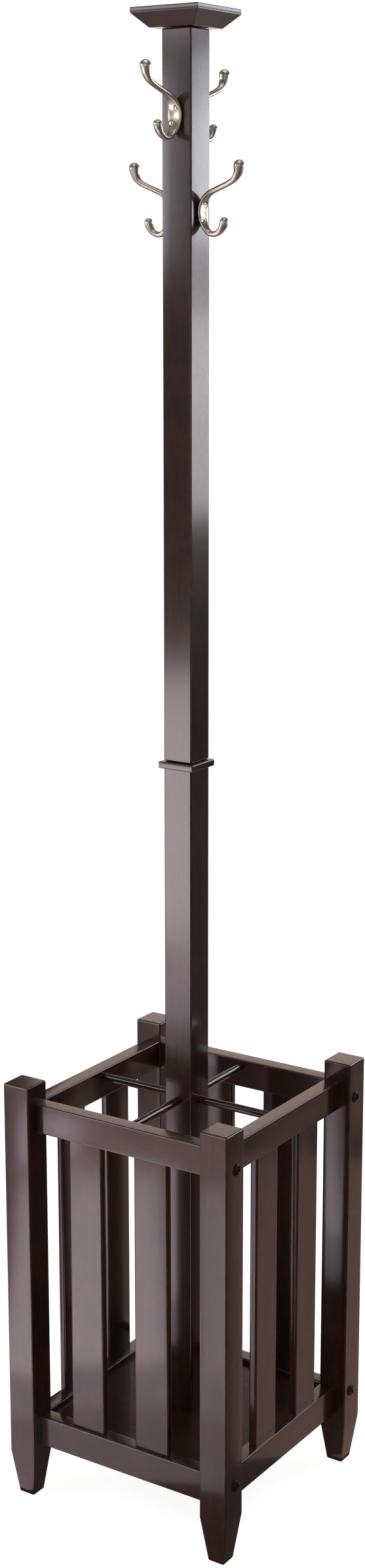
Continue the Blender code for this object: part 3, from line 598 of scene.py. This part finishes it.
def hook_mesh(reach):
    """A cast double hook on the pole's front, lofted through oval sections and flat against the pole."""
    rings = hook_rings(reach)
    bm = bmesh.new()
    loops = []
    for index, ring in enumerate(rings):
        out, up, thick, width, dish = ring
        before = rings[max(index - 1, 0)]
        after = rings[min(index + 1, len(rings) - 1)]
        run = Vector((after[0] - before[0], after[1] - before[1])).normalized()
        normal = Vector((-run.y, run.x))
        loop = []
        for point in range(HOOK_RING):
            angle = math.tau * (point + 0.5) / HOOK_RING
            across = width / 2 * math.cos(angle)
            offset = thick / 2 * math.sin(angle)
            if offset > 0.0:
                offset -= dish * max(0.0, 1.0 - (across / (HOOK_DISH_SHARE * width)) ** 2)
            out_here = max(out + normal.x * offset, HOOK_CLEARANCE)
            loop.append(bm.verts.new((across, -POLE_FACE - out_here, up + normal.y * offset)))
        loops.append(loop)
    loft(bm, loops)
    seats = [seat_cutter(across, up) for across, up in SCREW_PLACES.values()]
    return shade(cut(mesh_from("hook", bm), seats), HOOK_SHARP_ANGLE)


def screw_mesh():
    """A countersunk wood screw along Z, its slightly domed head at zero, with a cross recess."""
    dome = [(SCREW_HEAD_RADIUS * math.sin(angle), SCREW_CROWN * math.cos(angle))
            for angle in (math.radians(degrees) for degrees in range(0, 91, 15))]
    profile = dome + [(SCREW_RADIUS, -SCREW_HEAD_DEPTH), (SCREW_RADIUS, SCREW_TIP - SCREW_LENGTH),
                      (0.0, -SCREW_LENGTH)]
    length, width, depth = SCREW_SLOT
    slots = []
    for size in ((length, width), (width, length)):
        slot = bmesh.new()
        box = Matrix.Translation((0, 0, SCREW_CROWN)) @ Matrix.Diagonal((*size, 2 * depth, 1.0))
        bmesh.ops.create_cube(slot, size=1.0, matrix=box)
        for vert in slot.verts:
            if vert.co.z < 0.0:
                vert.co.x *= SCREW_SLOT_TAPER
                vert.co.y *= SCREW_SLOT_TAPER
        slots.append(slot)
    return shade(cut(mesh_from("hook_screw", turned(profile, SCREW_SEGMENTS)), slots), FASTENER_SHARP_ANGLE)


def make_hooks():
    hooks = {reach: hook_mesh(reach) for reach in sorted(set(HOOK_REACH.values()))}
    screw = screw_mesh()
    least_turn, lower_turn, side_turn = SCREW_TURNS
    for side, degrees in SIDES.items():
        turn = Matrix.Rotation(math.radians(degrees), 4, "Z")
        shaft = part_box(f"hook_screw_{side}_upper")
        low_point = (shaft[0].z + shaft[1].z) / 2 - SCREW_PLACES["upper"][1]
        new_piece(f"cast_hook_{side}", hooks[HOOK_REACH[side]], NICKEL, f"hook_{side}",
                  turn @ Matrix.Translation((0, 0, low_point)))
        for order, place in enumerate(PLACES):
            across, up = SCREW_PLACES[place]
            seat = Vector((across, -POLE_FACE - SCREW_SEAT, low_point + up))
            turned_by = least_turn + lower_turn * order + side_turn * degrees
            driven = Matrix.Rotation(math.radians(turned_by), 4, "Z")
            new_piece(f"cross_screw_{side}_{place}", screw, NICKEL,
                      f"hook_screw_{side}_{place}",
                      turn @ Matrix.Translation(seat) @ Matrix.Rotation(math.pi / 2, 4, "X") @ driven)


# ---------------------------------------------------------------- frame bolts


def bolt_mesh():
    """A button-head bolt along Z, its head above zero, with a hex socket and a rounded rim."""
    crown = BOLT_HEAD_HEIGHT - BOLT_EDGE
    dome = [(BOLT_HEAD_RADIUS * math.sin(angle), BOLT_EDGE + crown * math.cos(angle))
            for angle in (math.radians(degrees) for degrees in range(0, 91, 9))]
    profile = dome + [(BOLT_HEAD_RADIUS, BOLT_EDGE_EASE), (BOLT_HEAD_RADIUS - BOLT_EDGE_EASE, 0.0),
                      (BOLT_RADIUS, 0.0), (BOLT_RADIUS, BOLT_END_EASE - BOLT_LENGTH),
                      (BOLT_RADIUS - BOLT_END_EASE, -BOLT_LENGTH), (0.0, -BOLT_LENGTH)]
    corner = HEX_ACROSS_FLATS / math.sqrt(3)
    inner, outer, bevel_depth = HEX_MOUTH
    socket = bmesh.new()
    deep = Matrix.Translation((0, 0, BOLT_HEAD_HEIGHT))
    bmesh.ops.create_cone(socket, cap_ends=True, segments=6, radius1=corner, radius2=corner,
                          depth=2 * HEX_DEPTH, matrix=deep)
    mouth = bmesh.new()
    bmesh.ops.create_cone(mouth, cap_ends=True, segments=HEX_MOUTH_SEGMENTS, radius1=corner * inner,
                          radius2=corner * outer, depth=bevel_depth, matrix=deep)
    bolt = mesh_from("frame_bolt", turned(profile, BOLT_SEGMENTS))
    return shade(cut(bolt, [socket, mouth]), FASTENER_SHARP_ANGLE)


def make_bolts():
    bolt = bolt_mesh()
    for name in BOLTS:
        low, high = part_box("frame_bolt_" + name)
        middle = (low + high) / 2
        side = 1 if middle.x > 0 else -1
        head = high.x - BOLT_HEAD_HEIGHT if side > 0 else low.x + BOLT_HEAD_HEIGHT
        outward = Matrix.Rotation(side * math.pi / 2, 4, "Y")
        new_piece("button_bolt_" + name, bolt, BLACK, "frame_bolt_" + name,
                  Matrix.Translation((head, middle.y, middle.z)) @ outward)


make_hooks()
make_bolts()

# ---------------------------------------------------------------- studio


def make_floor():
    """A round floor whose far rim turns up into the backdrop."""
    profile = [(radius, 0.0) for radius in (*FLOOR_RINGS, FLOOR_RADIUS - FLOOR_WALL)]
    for step in range(1, FLOOR_WALL_STEPS + 1):
        angle = math.pi / 2 * step / FLOOR_WALL_STEPS
        profile.append((FLOOR_RADIUS - FLOOR_WALL + FLOOR_WALL * math.sin(angle),
                        FLOOR_WALL * (1 - math.cos(angle))))
    bm = bmesh.new()
    points = [bm.verts.new((radius, 0.0, height)) for radius, height in profile]
    edges = [bm.edges.new(pair) for pair in zip(points, points[1:])]
    bmesh.ops.spin(bm, geom=points + edges, cent=(0, 0, 0), axis=(0, 0, 1), angle=math.tau,
                   steps=FLOOR_SEGMENTS)
    bmesh.ops.remove_doubles(bm, verts=bm.verts, dist=0.001)
    mesh = mesh_from("floor", bm)
    mesh.shade_smooth()
    mesh.materials.append(pale_paper())
    floor = bpy.data.objects.new("floor", mesh)
    SCENE.collection.objects.link(floor)
    floor.visible_glossy = False
    floor.visible_diffuse = False


def make_light(name, place, aim, width, height, radiance, colour):
    light = bpy.data.lights.new(name, "AREA")
    light.shape = "RECTANGLE"
    light.size = width
    light.size_y = height
    light.energy = radiance * width * height * math.pi
    light.color = colour
    lamp = bpy.data.objects.new(name, light)
    SCENE.collection.objects.link(lamp)
    lamp.location = place
    lamp.rotation_mode = "QUATERNION"
    lamp.rotation_quaternion = (Vector(aim) - Vector(place)).to_track_quat("-Z", "Y")
    lamp.visible_camera = False
    return lamp


def make_lights():
    for name, (face, low, high, left, right, radiance, colour) in UPRIGHT_CARDS.items():
        outward = MIRRORED[face]
        aside = Vector((outward.y, -outward.x, 0.0)) * (left + right) / 2
        height = (low + high) / 2
        place = outward * CARD_DISTANCE + aside + Vector((0, 0, height))
        aim = aside + Vector((0, 0, CARD_AIM_BASE + CARD_AIM_RISE * height))
        make_light(name, place, aim, right - left, high - low, radiance, colour)
    for name, (face, near, far, left, right, radiance, colour) in FLOOR_CARDS.items():
        outward = MIRRORED[face]
        aside = Vector((outward.y, -outward.x, 0.0))
        place = outward * (near + far) / 2 + aside * (left + right) / 2 + Vector((0, 0, FLOOR_CARD_HEIGHT))
        card = make_light(name, place, place + Vector((0, 0, 1)), right - left, far - near, radiance, colour)
        axes = Matrix((aside, -outward, Vector((0, 0, -1)))).transposed()
        card.rotation_quaternion = axes.to_quaternion()
    for name, settings in LIGHTS.items():
        make_light(name, *settings)


def make_world():
    world = bpy.data.worlds.new("studio")
    world.use_nodes = True
    SCENE.world = world
    background = world.node_tree.nodes["Background"]
    background.inputs["Color"].default_value = WORLD_COLOUR
    background.inputs["Strength"].default_value = WORLD_STRENGTH


def make_camera():
    camera = bpy.data.cameras.new("camera")
    camera.lens = CAMERA_LENS
    camera.sensor_width = CAMERA_SENSOR
    eye = bpy.data.objects.new("camera", camera)
    SCENE.collection.objects.link(eye)
    eye.matrix_world = (Matrix.Translation(CAMERA_PLACE)
                        @ Matrix.Rotation(math.radians(CAMERA_YAW), 4, "Z")
                        @ Matrix.Rotation(math.radians(90 + CAMERA_PITCH), 4, "X")
                        @ Matrix.Rotation(math.radians(CAMERA_ROLL), 4, "Z"))
    SCENE.camera = eye


make_floor()
make_lights()
make_world()
make_camera()
SCENE.view_settings.view_transform = "Standard"
